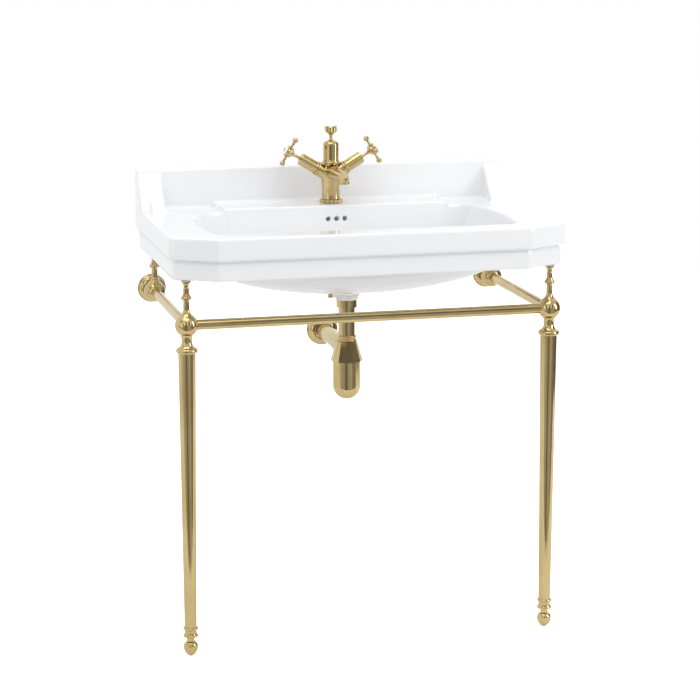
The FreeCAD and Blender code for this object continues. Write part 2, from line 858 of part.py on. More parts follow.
def tap_body():
    """Waisted pillar with two tilted valve arms, the spout, and bores for the lift rod and the shank."""
    base = tap_body_base
    centre = valve_centre.z
    pillar = turned(
        [
            (tap_foot_radius, base),
            (tap_waist_radius, base + 18.0, tap_shoulder_radius, centre - 4.0),
            (tap_shoulder_radius + 0.4, centre + 8.0, tap_shoulder_radius - 1.5, centre + 15.0),
            (tap_top_radius + 2.6, centre + 21.0, tap_top_radius, tap_top - 4.0),
            (tap_top_radius, tap_top),
        ],
        vec(0, tap_y, 0),
    )
    arms = []
    bores = []
    for side in (-1, 1):
        way = valve_direction(side)
        arm = turned(
            [
                (valve_arm_radius, 0),
                (valve_arm_radius, valve_arm_length - 5.0),
                (valve_bead_radius, valve_arm_length - 2.5, valve_arm_radius, valve_arm_length),
            ],
            valve_centre,
            way,
        )
        arms.append(arm)
        socket = valve_arm_length - bonnet_spigot_length
        start = valve_centre + way * socket
        bores.append(rod(bonnet_spigot_radius + thread_fit, start, start + way * bonnet_spigot_length * 2))
    nozzle_y = tap_y - spout_reach * 0.93
    nozzle_top = ledge_top + spout_height
    nozzle_end = nozzle_top - nozzle_drop
    nozzle = rod(nozzle_radius, vec(0, nozzle_y, nozzle_end), vec(0, nozzle_y, nozzle_top))
    body = pillar.fuse(arms + [spout(), nozzle])
    bores.append(rod(lift_rod_radius + running_fit, vec(0, tap_y, base - 1), vec(0, tap_y, tap_top + 1)))
    bores.append(rod(shank_radius + thread_fit, vec(0, tap_y, base - 1), vec(0, tap_y, base + shank_socket)))
    mouth = vec(0, nozzle_y, nozzle_end - 1)
    bores.append(rod(aerator_radius + thread_fit, mouth, mouth + vec(0, 0, aerator_depth + 1)))
    return body.cut(bores)


def tap_foot_ring():
    low = ledge_top + tap_seal_thickness
    disc = scalloped_disc(tap_ring_radius, tap_ring_lobe_bulge, tap_ring_lobes, tap_ring_height)
    disc = placed(disc, vec(0, tap_y, low))
    top = low + tap_ring_height
    return disc.cut(rod(shank_radius + thread_fit, vec(0, tap_y, low - 1), vec(0, tap_y, top + 1)))


def tap_base_seal():
    top = ledge_top + tap_seal_thickness
    return ring(tap_ring_radius, shank_radius + thread_fit, ledge_top, top, 0, tap_y)


def tap_shank():
    """Threaded sleeve through the basin, with the two inlet threads in its end and the lift rod's bore."""
    top = tap_body_base + shank_socket
    body = rod(shank_radius, vec(0, tap_y, shank_bottom), vec(0, tap_y, top))
    cuts = [rod(lift_rod_radius + running_fit, vec(0, tap_y, shank_bottom - 1), vec(0, tap_y, top + 1))]
    for side in (-1, 1):
        start = vec(side * inlet_offset, tap_y, shank_bottom - 1)
        cuts.append(rod(inlet_thread_radius, start, start + vec(0, 0, inlet_depth + 1)))
    return body.cut(cuts)


def tap_rubber_washer():
    low = deck_bottom - tap_rubber_thickness
    return ring(tap_washer_radius, shank_radius + body_gap, low, deck_bottom, 0, tap_y)


def tap_backnut():
    top = deck_bottom - tap_rubber_thickness
    corner = tap_nut_flats / math.sqrt(3)
    plan = []
    for i in range(6):
        angle = i * math.pi / 3
        plan.append((corner * math.cos(angle), tap_y + corner * math.sin(angle)))
    nut = prism(plan, top - tap_nut_height, top)
    low = top - tap_nut_height
    return nut.cut(rod(shank_radius + thread_fit, vec(0, tap_y, low - 1), vec(0, tap_y, top + 1)))


def tap_dome():
    """Domed column on the tap: a beaded collar, a plain drum and a rounded crown round the lift rod."""
    low = tap_top
    crown = dome_top
    shoulder = dome_radius * 0.93
    bead = low + dome_collar_height / 3
    body = turned(
        [
            (dome_collar_radius - 2.0, low),
            (dome_collar_radius, bead, dome_collar_radius - 1.5, low + dome_collar_height / 1.5),
            (dome_radius, low + dome_collar_height + 2.0),
            (dome_radius, crown - 10.5),
            (shoulder * 0.95, crown - 4.2, dome_radius * 0.56, crown - 1.4),
            (dome_neck_radius, crown - 1.0),
            (dome_neck_radius, crown),
        ],
        vec(0, tap_y, 0),
    )
    return body.cut(rod(lift_rod_radius + running_fit, vec(0, tap_y, low - 1), vec(0, tap_y, crown + 1)))


def spout_aerator():
    nozzle_y = tap_y - spout_reach * 0.93
    low = ledge_top + spout_height - nozzle_drop
    body = ring(aerator_radius, aerator_radius - 1.5, low, low + aerator_depth, 0, nozzle_y)
    mesh = rod(aerator_radius - 1.5, vec(0, nozzle_y, low + 2.0), vec(0, nozzle_y, low + 4.0))
    return body.fuse(mesh)


def bonnet(side):
    """Valve housing: threaded spigot into the arm, a bead, a plain drum, and a bored end."""
    way = valve_direction(side)
    seat = valve_arm_length
    end = seat + bonnet_length
    body = turned(
        [
            (bonnet_spigot_radius, seat - bonnet_spigot_length),
            (bonnet_spigot_radius, seat),
            (bonnet_radius, seat),
            (bonnet_radius + 1.4, seat + 2.0, bonnet_radius, seat + 4.0),
            (bonnet_radius, end - 1.2),
            (bonnet_radius - 1.2, end),
        ],
        valve_centre,
        way,
    )
    chamber_start = valve_centre + way * (seat - bonnet_spigot_length - 1)
    chamber = rod(bonnet_bore_radius, chamber_start, valve_centre + way * (end - bonnet_end_wall))
    hole = rod(spindle_radius + running_fit, chamber_start, valve_centre + way * (end + 1))
    return body.cut([chamber, hole])


def seat_disc(side):
    """Fixed ceramic disc of the quarter-turn valve, with its two ports."""
    way = valve_direction(side)
    start = valve_centre + way * (valve_arm_length + 2.0)
    disc = rod(bonnet_bore_radius - thread_fit, start, start + way * 3.0)
    for offset in (-1, 1):
        port = start + vec(0, offset * bonnet_bore_radius / 2, 0)
        disc = disc.cut(rod(2.0, port - way, port + way * 4.0))
    return disc


def spindle(side):
    """Stem of the valve: turning disc inside the bonnet, shaft through its end, cone up to the handle."""
    seat = valve_arm_length + 5.0 + body_gap
    end = valve_arm_length + bonnet_length
    hub = end + hub_gap
    return turned(
        [
            (spindle_flange_radius, seat),
            (spindle_flange_radius, seat + 5.0),
            (spindle_radius, seat + 5.0),
            (spindle_radius, end + 3.0),
            (spindle_radius + 0.6, hub - 5.0, 6.0, hub),
        ],
        valve_centre,
        valve_direction(side),
    )


def handle(side):
    """Cross handle: a turned hub with four thin arms that end in balls."""
    hub = valve_arm_length + bonnet_length + hub_gap
    way = valve_direction(side)
    body = turned(
        [
            (6.0, hub),
            (hub_radius - 1.2, hub + 2.0, hub_radius - 1.6, hub + 4.0),
            (hub_radius - 2.2, hub + 6.5, hub_radius - 0.6, hub + 9.0),
            (hub_radius, hub + 10.5, hub_radius, hub + hub_length),
        ],
        valve_centre,
        way,
    )
    middle = valve_centre + way * (hub + hub_length / 2)
    across = way.cross(BACK)
    arms = []
    for direction in (BACK, -BACK, across, -across):
        arm = Part.makeCone(cross_arm_radius, cross_arm_tip_radius, cross_reach, middle, direction)
        arms.append(arm)
        arms.append(Part.makeSphere(cross_ball_radius, middle + direction * cross_reach))
    body = body.fuse(arms)
    recess = valve_centre + way * (hub + hub_length - 1.5)
    return body.cut(rod(index_disc_radius + thread_fit, recess, recess + way * 3.0))


def index_disc(side):
    """Round ceramic button let into the end of the handle's hub."""
    seat = valve_arm_length + bonnet_length + hub_gap + hub_length - 1.5
    edge = seat + index_disc_height * 0.6
    apex = seat + index_disc_height
    return turned(
        [
            (index_disc_radius, seat),
            (index_disc_radius, edge),
            (*cap_middle(index_disc_radius, edge, apex), 0, apex),
        ],
        valve_centre,
        valve_direction(side),
    )


# --- pop-up linkage ---
def lift_knob():
    """Lobed knob on a flared stem; the shaft below it runs in the dome."""
    low = dome_top + body_gap
    cup = scalloped_disc(knob_radius - knob_lobe_bulge, knob_lobe_bulge, knob_lobes, knob_height)
    cup = placed(cup, vec(0, tap_y, knob_bottom))
    form = turned(
        [
            (4.6, low),
            (3.2, low + 5.0, 3.6, low + 9.0),
            (4.2, knob_bottom - 1.5, knob_radius * 0.62, knob_bottom + 2.5),
            (knob_radius * 0.97, knob_bottom + 6.0, knob_radius + 0.2, knob_bottom + knob_height - 3.0),
            (knob_radius * 0.9, knob_bottom + knob_height),
        ],
        vec(0, tap_y, 0),
    )
    stem = form.common(rod(knob_radius, vec(0, tap_y, low), vec(0, tap_y, knob_bottom)))
    body = form.common(cup).fuse(stem).removeSplitter()
    recess = vec(0, tap_y, knob_bottom + knob_height - 1.0)
    body = body.cut(rod(knob_disc_radius + thread_fit, recess, recess + vec(0, 0, 3.0)))
    return body.cut(rod(lift_rod_radius + thread_fit, vec(0, tap_y, low - 1), vec(0, tap_y, knob_bottom)))


def lift_knob_disc():
    seat = knob_bottom + knob_height - 1.0
    edge = seat + knob_disc_height * 0.5
    apex = seat + knob_disc_height
    return turned(
        [
            (knob_disc_radius, seat),
            (knob_disc_radius, edge),
            (*cap_middle(knob_disc_radius, edge, apex), 0, apex),
        ],
        vec(0, tap_y, 0),
    )


def strap_bottom():
    return pivot_z - lift_travel / 2 - strap_margin


def lift_rod():
    strap_top = strap_bottom() + strap_length
    return rod(lift_rod_radius, vec(0, tap_y, strap_top - clamp_height), vec(0, tap_y, knob_bottom))


def lift_strap():
    """Flat link beside the lift rod, with a row of holes; the lever's tail passes through the lowest."""
    low = strap_bottom()
    near = tap_y + lift_rod_radius + strap_gap
    body = block(-strap_width / 2, strap_width / 2, near, near + strap_thickness, low, low + strap_length)
    holes = []
    for i in range(3):
        z = low + strap_margin + i * 3 * strap_hole_radius
        holes.append(rod(strap_hole_radius, vec(0, near - 1, z), vec(0, near + strap_thickness + 1, z)))
    return body.cut(holes)


def lift_clamp():
    """Block that grips the rod and the strap, with its thumb screw."""
    top = strap_bottom() + strap_length
    low = top - clamp_height
    near = tap_y - clamp_radius
    strap_near = tap_y + lift_rod_radius + strap_gap
    far = strap_near + strap_thickness + 2.0
    body = block(-clamp_radius, clamp_radius, near, far, low, top)
    cuts = [rod(lift_rod_radius, vec(0, tap_y, low - 1), vec(0, tap_y, top + 1))]
    half = strap_width / 2
    cuts.append(block(-half, half, strap_near, strap_near + strap_thickness, low - 1, top + 1))
    middle = (low + top) / 2
    screw = rod(thumb_screw_radius, vec(0, near - 9.0, middle), vec(0, near, middle))
    return body.cut(cuts).fuse(screw)


def pivot_lever():
    """Ball rod of the pop-up waste: short arm up to the plug's eye, long tail down through the strap."""
    half_swing = lever_swing / 2
    slope = math.tan(math.radians(half_swing))
    tail = lever_span + lever_tail
    pivot = vec(0, pivot_y, pivot_z)
    inner = vec(0, pivot_y - pivot_reach - 4.0, pivot_z + slope * (pivot_reach + 4.0))
    outer = vec(0, pivot_y + tail, pivot_z - slope * tail)
    return rod(lever_radius, inner, outer).fuse(Part.makeSphere(lever_ball_radius, pivot))


def pivot_nut():
    """Cap nut that holds the lever's ball in the port."""
    near = pivot_y - pivot_nut_length / 2 + 3.0
    far = near + pivot_nut_length
    body = rod(pivot_nut_radius, vec(0, near, pivot_z), vec(0, far, pivot_z))
    thread = rod(port_radius + thread_fit, vec(0, near - 1, pivot_z), vec(0, far - pivot_nut_cap, pivot_z))
    opening = rod(lever_opening_radius, vec(0, near, pivot_z), vec(0, far + 1, pivot_z))
    return body.cut([thread, opening])


# --- waste ---
def waste_flange():
    """Waste: dished flange and threaded tube in one, with overflow slots and a side hole for the lever."""
    top = bowl_floor
    under = top - waste_flange_thickness
    low = port_nut_bottom + port_nut_lip
    body = turned(
        [
            (waste_mouth_radius, top),
            (waste_flange_radius - 1.0, top),
            (waste_flange_radius, under),
            (waste_tube_radius, under),
            (waste_tube_radius, low),
        ],
        vec(0, drain_y, 0),
    )
    at = vec(0, drain_y, 0)
    mouth = turned([(waste_mouth_radius, top), (waste_bore_radius, under), (waste_bore_radius, low)], at)
    slot_z = (bowl_floor + drain_bottom) / 2
    reach = waste_tube_radius + 3.0
    half = waste_slot_width / 2
    slot = block(-half, half, drain_y - reach, drain_y + reach, slot_z - 6.0, slot_z + 6.0)
    side_hole = rod(lever_ball_radius, vec(0, drain_y, pivot_z), vec(0, drain_y + reach, pivot_z))
    return body.cut([mouth, slot, side_hole])


def waste_seal():
    top = bowl_floor - waste_flange_thickness
    low = top - waste_seal_thickness
    return ring(waste_flange_radius - 1.0, waste_tube_radius + 0.5, low, top, 0, drain_y)


def waste_gasket():
    """Thick tapered rubber washer between the basin and the port nut."""
    ends = [(gasket_top_radius, drain_bottom), (gasket_bottom_radius, port_nut_top)]
    outside = turned(ends, vec(0, drain_y, 0))
    low = vec(0, drain_y, port_nut_top - 1)
    return outside.cut(rod(waste_tube_radius + 0.1, low, low + UP * (gasket_height + 2)))


def waste_port_nut():
    """Collar that clamps the waste, takes the inlet tube below, and carries the lever's port at the back."""
    low = port_nut_bottom
    top = port_nut_top
    body = rod(port_nut_radius, vec(0, drain_y, low), vec(0, drain_y, top))
    end = pivot_y + port_length / 2 - 2.0
    body = body.fuse(rod(port_radius, vec(0, drain_y, pivot_z), vec(0, end, pivot_z)))
    cuts = [
        rod(waste_tube_radius + thread_fit, vec(0, drain_y, low + port_nut_lip), vec(0, drain_y, top + 1)),
        rod(inlet_tube_radius + thread_fit, vec(0, drain_y, low - 1), vec(0, drain_y, top)),
        rod(lever_ball_radius + running_fit, vec(0, drain_y, pivot_z), vec(0, end + 1, pivot_z)),
    ]
    return body.cut(cuts)


def plug_base():
    return bowl_floor + plug_lift + body_gap


def waste_plug():
    """Domed plug with a groove for its seal and a stem whose eye takes the lever's short arm."""
    base = plug_base()
    groove = base - 3.0
    groove_low = groove - plug_seal_thickness
    slope = math.tan(math.radians(lever_swing / 2))
    eye = pivot_z + slope * pivot_reach
    cap = turned(
        [
            (0, base + 5.0),
            (*cap_middle(plug_radius, base + 1.2, base + 5.0), plug_radius, base + 1.2),
            (plug_radius, base),
            (plug_seal_radius - 0.6, base - 1.0),
            (plug_seal_radius - 0.6, groove),
            (plug_seal_radius - plug_seal_thickness, groove),
            (plug_seal_radius - plug_seal_thickness, groove_low),
            (plug_seal_radius - 0.6, groove_low),
            (plug_seal_radius - 2.0, groove_low - 2.0),
            (plug_stem_radius, groove_low - 4.0),
            (plug_stem_radius, eye + plug_eye_radius - 1.0),
        ],
        vec(0, drain_y, 0),
    )
    half = plug_eye_thickness / 2
    disc = rod(plug_eye_radius, vec(0, drain_y - half, eye), vec(0, drain_y + half, eye))
    hole = rod(plug_eye_hole, vec(0, drain_y - plug_radius, eye), vec(0, drain_y + plug_radius, eye))
    return cap.fuse(disc).cut(hole)


def plug_seal():
    top = plug_base() - 3.0
    inner = plug_seal_radius - plug_seal_thickness + thread_fit
    low = top - plug_seal_thickness
    return ring(plug_seal_radius, inner, low + thread_fit, top - thread_fit, 0, drain_y)


# --- trap ---
def inlet_tube():
    top = port_nut_bottom + port_nut_lip - body_gap
    return tube(inlet_tube_radius, tube_wall, vec(0, drain_y, top - inlet_tube_length), vec(0, drain_y, top))


def trap_nut():
    """Compression nut round the inlet tube, with a small bead at each end."""
    low = trap_top_height
    top = low + trap_nut_height
    third = trap_nut_height / 3
    outside = turned(
        [
            (trap_nut_radius - 1.4, top),
            (trap_nut_radius, top - third / 2, trap_nut_radius - 1.0, top - third),
            (trap_nut_radius - 2.0, top - 1.5 * third, trap_nut_radius - 1.0, top - 2 * third),
            (trap_nut_radius, low + third / 2, trap_nut_radius - 1.4, low),
        ],
        vec(0, drain_y, 0),
    )
    start = vec(0, drain_y, low - 1)
    return outside.cut(rod(inlet_tube_radius + thread_fit, start, start + UP * (trap_nut_height + 2)))


def facet_wire(radius, height):
    corners = []
    for i in range(trap_cone_facets):
        angle = (i + 0.5) * 2 * math.pi / trap_cone_facets
        corners.append(vec(radius * math.cos(angle), drain_y + radius * math.sin(angle), height))
    return Part.makePolygon(corners + corners[:1])


def trap_body():
    """Faceted cone with a plain lip, an inner chamber, the bottle's socket and the flared outlet branch."""
    top = trap_top_height
    low = trap_cone_bottom
    wires = [facet_wire(trap_cone_bottom_radius, low), facet_wire(trap_cone_top_radius, top)]
    cone = Part.makeLoft(wires, True, True)
    branch = turned(
        [
            (branch_root_radius, 0),
            (branch_root_radius, 24.0),
            (branch_end_radius + 0.6, 31.0, branch_end_radius, 40.0),
            (branch_end_radius, branch_reach),
        ],
        vec(0, drain_y, outlet_height),
        BACK,
    )
    trimmed = branch.cut(block(-branch_root_radius - 1, branch_root_radius + 1, 0, 90, top, top + 9))
    body = cone.fuse(trimmed)
    socket_top = low + bottle_overlap
    chamber = turned(
        [
            (trap_chamber_radius * 0.86, top - trap_roof),
            (trap_chamber_radius, socket_top + seal_thickness),
            (bottle_radius + thread_fit, socket_top + seal_thickness),
            (bottle_radius + thread_fit, low - 1),
        ],
        vec(0, drain_y, 0),
    )
    cuts = [chamber]
    cuts.append(rod(inlet_tube_radius + thread_fit, vec(0, drain_y, low), vec(0, drain_y, top + 1)))
    end = vec(0, drain_y + branch_reach, outlet_height)
    cuts.append(rod(branch_passage_radius, vec(0, drain_y, outlet_height), end))
    cuts.append(rod(outlet_pipe_radius + thread_fit, end - BACK * branch_overlap, end + BACK))
    return body.cut(cuts)


def trap_bottle():
    """Bottle with a round bottom, screwed up into the body."""
    top = trap_cone_bottom + bottle_overlap
    bend = trap_cone_bottom - bottle_straight
    skins = []
    for radius in (bottle_radius, bottle_radius - bottle_wall):
        low = bend - radius
        form = [(radius, top), (radius, bend), (*cap_middle(radius, bend, low), 0, low)]
        skins.append(turned(form, vec(0, drain_y, 0)))
    return skins[0].cut(skins[1])


def bottle_seal():
    low = trap_cone_bottom + bottle_overlap
    return ring(bottle_radius, bottle_radius - 3.0, low, low + seal_thickness, 0, drain_y)


def outlet_pipe():
    start = vec(0, drain_y + branch_reach - branch_overlap, outlet_height)
    return tube(outlet_pipe_radius, tube_wall, start, vec(0, wall_y, outlet_height))


def trap_rosette():
    cover = domed_cover(rosette_radius, rosette_depth, rosette_wall, outlet_pipe_radius + cover_gap)
    return placed(cover, vec(0, wall_y, outlet_height), -BACK)


def build():
    os.makedirs("parts", exist_ok=True)
    save("basin", basin())
    save("support_pads", *support_pads())
    for name, side in SIDES:
        save("front_joint_" + name, front_joint(side))
        save("rear_joint_" + name, rear_joint(side))
        save("leg_" + name, leg(side))
        save("leg_ferrule_" + name, leg_ferrule(side))
        save("foot_" + name, foot(side))
        save("side_rail_" + name, side_rail(side))
        save("wall_plate_" + name, wall_plate(side))
        save("wall_cover_" + name, wall_cover(side))
    save("finials", *[finial(x, y) for x in (-leg_x, leg_x) for y in (front_leg_y, rear_ball_y)])
    save("front_rail", front_rail())
    save("tap_body", tap_body())
    save("tap_foot_ring", tap_foot_ring())
    save("tap_base_seal", tap_base_seal())
    save("tap_shank", tap_shank())
    save("tap_rubber_washer", tap_rubber_washer())
    save("tap_backnut", tap_backnut())
    save("tap_dome", tap_dome())
    save("spout_aerator", spout_aerator())
    for name, side in (("hot", -1), ("cold", 1)):
        save(name + "_bonnet", bonnet(side))
        save(name + "_seat_disc", seat_disc(side))
        save(name + "_spindle", spindle(side))
        save(name + "_handle", handle(side))
        save(name + "_index_disc", index_disc(side))
    save("lift_knob", lift_knob())
    save("lift_knob_disc", lift_knob_disc())
    save("lift_rod", lift_rod())
    save("lift_strap", lift_strap())
    save("lift_clamp", lift_clamp())
    save("pivot_lever", pivot_lever())
    save("pivot_nut", pivot_nut())
    save("waste_flange", waste_flange())
    save("waste_seal", waste_seal())
    save("waste_gasket", waste_gasket())
    save("waste_port_nut", waste_port_nut())
    save("waste_plug", waste_plug())
    save("plug_seal", plug_seal())
    save("trap_inlet_tube", inlet_tube())
    save("trap_nut", trap_nut())
    save("trap_body", trap_body())
    save("trap_bottle", trap_bottle())
    save("bottle_seal", bottle_seal())
    save("outlet_pipe", outlet_pipe())
    save("trap_rosette", trap_rosette())


build()
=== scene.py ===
import math

import bmesh
import bpy
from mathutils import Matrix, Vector


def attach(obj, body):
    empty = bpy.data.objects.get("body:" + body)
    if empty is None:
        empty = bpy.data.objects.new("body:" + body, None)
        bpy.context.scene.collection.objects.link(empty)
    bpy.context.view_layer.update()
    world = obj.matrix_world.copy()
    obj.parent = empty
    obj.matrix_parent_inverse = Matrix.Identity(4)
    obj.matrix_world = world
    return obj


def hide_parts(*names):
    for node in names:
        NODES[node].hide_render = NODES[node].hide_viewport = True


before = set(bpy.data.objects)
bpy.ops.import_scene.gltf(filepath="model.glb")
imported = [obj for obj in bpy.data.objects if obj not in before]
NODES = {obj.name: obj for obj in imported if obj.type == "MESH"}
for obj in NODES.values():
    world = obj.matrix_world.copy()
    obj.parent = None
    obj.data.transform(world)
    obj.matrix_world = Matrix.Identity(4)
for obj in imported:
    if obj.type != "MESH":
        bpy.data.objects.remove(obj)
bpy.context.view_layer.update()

bl_info = {
    "name": "Console sink looks",
    "version": (1, 0, 0),
    "blender": (4, 5, 0),
    "location": "3D View > Sidebar > Console Sink",
    "description": "Dresses a console sink on a turned stand, with its tap, waste and trap",
    "category": "Object",
}

# --- names of the solids that share one material ---
SIDES = ("left", "right")
STAND_PARTS = (
    "front_joint", "rear_joint", "leg", "leg_ferrule", "foot", "side_rail", "wall_plate", "wall_cover",
)
VALVES = ("hot", "cold")
TAP_METAL = (
    "tap_foot_ring", "tap_shank", "tap_backnut", "tap_dome", "spout_aerator", "lift_knob", "lift_rod",
)
WASTE_METAL = (
    "lift_strap", "lift_clamp", "pivot_lever", "pivot_nut", "waste_flange", "waste_port_nut", "waste_plug",
    "trap_inlet_tube", "trap_nut", "trap_body", "trap_bottle", "outlet_pipe", "trap_rosette",
)

# --- colours of the small parts ---
BUTTON_WHITE = (0.86, 0.85, 0.83)
BLACK_RUBBER = (0.03, 0.03, 0.03)
WHITE_RUBBER = (0.80, 0.80, 0.78)
PAD_RUBBER = (0.75, 0.75, 0.72)

# --- stage ---
LIGHTS = (
    # name, place, width and height, and the setting with its power
    ("top_light", (-0.5, -0.8, 3.5), (2.6, 2.2), "top_power"),
    ("left_light", (-3.0, -1.9, 1.5), (0.7, 2.6), "left_power"),
    ("right_light", (3.1, -1.7, 1.6), (0.9, 2.6), "right_power"),
)
LIGHT_AIM = Vector((0.0, 0.0, 0.6))
FLOOR_HALF = 2.4
FLOOR_SHIFT = 1.65  # towards the wall, so that the legs mirror the floor only at their foot
FLOOR_HEIGHT = -0.0062  # just below the feet when they are screwed out by 6 mm

# The room's brightness by direction. The first number of a pair runs from 0 at an axis's low end to 1 at its
# high end, and the second is the brightness, or the share of the second of two shades that are blended.
EVEN_ROOM = ((0.0, 0.95), (0.45, 0.9), (0.6, 1.0), (1.0, 1.15))
FRONT_LOW = (
    (0.0, 0.75), (0.12, 0.5), (0.27, 0.42), (0.32, 0.16), (0.40, 0.18), (0.46, 0.42), (0.60, 0.46),
    (0.70, 0.62), (0.78, 0.36), (0.90, 0.28), (1.0, 0.12),
)
FRONT_HIGH = (
    (0.0, 0.9), (0.06, 0.9), (0.08, 0.13), (0.19, 0.13), (0.21, 1.0), (0.34, 1.0), (0.36, 0.12),
    (0.46, 0.12), (0.48, 1.0), (0.57, 1.0), (0.59, 0.13), (0.71, 0.13), (0.73, 1.0), (0.82, 1.0),
    (0.84, 0.15), (1.0, 0.15),
)
FRONT_HIGH_GAIN = 1.25
CEILING_STRENGTH = 0.8
BEHIND = ((0.0, 1.0), (0.88, 1.0), (0.93, 0.25), (1.0, 0.12))
LOW_TO_HIGH = ((0.0, 0.0), (0.55, 0.0), (0.60, 1.0), (1.0, 1.0))
HIGH_TO_CEILING = ((0.0, 0.0), (0.76, 0.0), (0.86, 1.0), (1.0, 1.0))
FRONT_TO_BEHIND = ((0.0, 0.0), (0.46, 0.0), (0.58, 1.0), (1.0, 1.0))

# --- where the basin is reshaped: metres in the frame, x along the wall, y towards it, z up ---
WELD = 0.000002  # corners of a mesh that are closer than this become one

# hidden overflow passage
PASSAGE_HALF = 0.0265
PASSAGE_START = 0.03
PASSAGE_END = 0.107
ROOF_NEAR = 0.0006  # a corner of the roof lies within this of its plane
ROOF_DROP = 0.004

# groove under the upper band: the apron's faces lie outside these limits
GROOVE_SIDE = 0.375
GROOVE_FRONT = -0.215
CANTED_SIDE = 0.30
CANTED_FRONT = -0.16
GROOVE_BACK = 0.225  # it stops short of the wall
FACING_LEAST = 0.4  # least level part of a normal on these faces

# the bowl and its surroundings: nothing outside these limits moves
BOWL_TOP = 0.87
BOWL_BACK = 0.17
BOWL_SIDE = 0.38

# the part that rises as the floor is dished
RISE_TOP = 0.81
RISE_FRONT = -0.203
RISE_BACK = 0.16
RISE_SIDE = 0.352
RISE_MOST = 0.046
RISE_FULL = 0.73  # it rises fully below this height
RISE_FADE = 0.08  # and not at all this much higher
DISH_SIDE = 0.24  # where the rise towards the ends reaches the dish setting
DISH_POWER = 2.2
STRIP_MIDDLE = -0.035  # strip along the floor that doesn't rise towards the front or the back
STRIP_HALF = 0.045
STRIP_FADE = 0.075
STRIP_RISE = 0.024

# boss round the drain, drawn out over the passage behind it, which stays as it is
BOSS_END = 0.135
BOSS_RADIUS = 0.034
BOSS_FADE = 0.05

# the solid's mouth, and how its change fades out
MOUTH_HALF = 0.325
MOUTH_FRONT = -0.18
MOUTH_BACK = 0.13
MOUTH_FADE = 0.022
ENDS_START = 0.2
ENDS_FADE = 0.1
LEDGE_FADE = 0.018
BACK_SHARE = 0.03  # part of its depth that the strip between the new and the old back edge keeps
BACK_JOIN = 0.169
BACK_ROOM = 0.04
CORNER_REACH = 1.75  # in sizes of the back corner
CORNER_FADE = 0.75

# --- materials: most values of a noise lie between these two ---
NOISE_LOW = 0.3
NOISE_HIGH = 0.7


# --- settings ---
class ViewSettings(bpy.types.PropertyGroup):
    """Where the camera stands and how it looks"""

    place: bpy.props.FloatVectorProperty(
        name="Camera place",
        description="Where the camera stands",
        default=(-1.096, -4.3804, 1.5046),
        subtype="TRANSLATION",
        unit="LENGTH",
    )
    turn: bpy.props.FloatProperty(
        name="Turn",
        description="Turn of the view to the right of the wall's normal",
        default=0.2459,
        subtype="ANGLE",
    )
    tilt: bpy.props.FloatProperty(
        name="Tilt",
        description="Downward tilt of the view",
        default=0.1871,
        subtype="ANGLE",
    )
    lens: bpy.props.FloatProperty(
        name="Focal length",
        description="Lens for a 36 mm wide sensor",
        default=115.54,
        subtype="DISTANCE_CAMERA",
    )
    raised: bpy.props.FloatProperty(
        name="Vertical shift",
        description="Lens shift as a share of the picture's width",
        default=-0.06,
    )


class StageSettings(bpy.types.PropertyGroup):
    """The backdrop, the floor, the room that metal mirrors, and the lights"""

    backdrop: bpy.props.FloatVectorProperty(
        name="Backdrop",
        description="Colour behind the object",
        default=(1.0, 1.0, 1.0),
        subtype="COLOR",
    )
    floor: bpy.props.FloatVectorProperty(
        name="Floor",
        description="Colour of the floor",
        default=(0.93, 0.93, 0.93),
        subtype="COLOR",
    )
    floor_glow: bpy.props.FloatProperty(
        name="Floor glow",
        description="Share of plain white in the floor as the camera sees it",
        default=0.72,
        min=0.0,
    )
    room_light: bpy.props.FloatProperty(
        name="Room light",
        description="Strength of the even light from all round",
        default=0.80,
        min=0.0,
    )
    mirrored: bpy.props.FloatProperty(
        name="Mirrored room",
        description="Strength of the room in front of the object, as metal mirrors it",
        default=1.0,
        min=0.0,
    )
    top_power: bpy.props.FloatProperty(
        name="Top light",
        description="Power of the wide light above",
        default=26.0,
        subtype="POWER",
    )
    left_power: bpy.props.FloatProperty(
        name="Left light",
        description="Power of the tall light on the left",
        default=7.0,
        subtype="POWER",
    )
    right_power: bpy.props.FloatProperty(
        name="Right light",
        description="Power of the tall light on the right",
        default=40.0,
        subtype="POWER",
    )


class BrassSettings(bpy.types.PropertyGroup):
    """The polished brass of the stand, the tap and the trap"""

    light: bpy.props.FloatVectorProperty(
        name="Bright brass",
        description="Colour of clean brass",
        default=(0.63, 0.49, 0.25),
        subtype="COLOR",
    )
    deep: bpy.props.FloatVectorProperty(
        name="Deep brass",
        description="Colour of brass that has started to darken",
        default=(0.53, 0.40, 0.175),
        subtype="COLOR",
    )
    roughness: bpy.props.FloatProperty(
        name="Roughness",
        description="Roughness of the polished brass",
        default=0.10,
        min=0.0,
        max=1.0,
        subtype="FACTOR",
    )


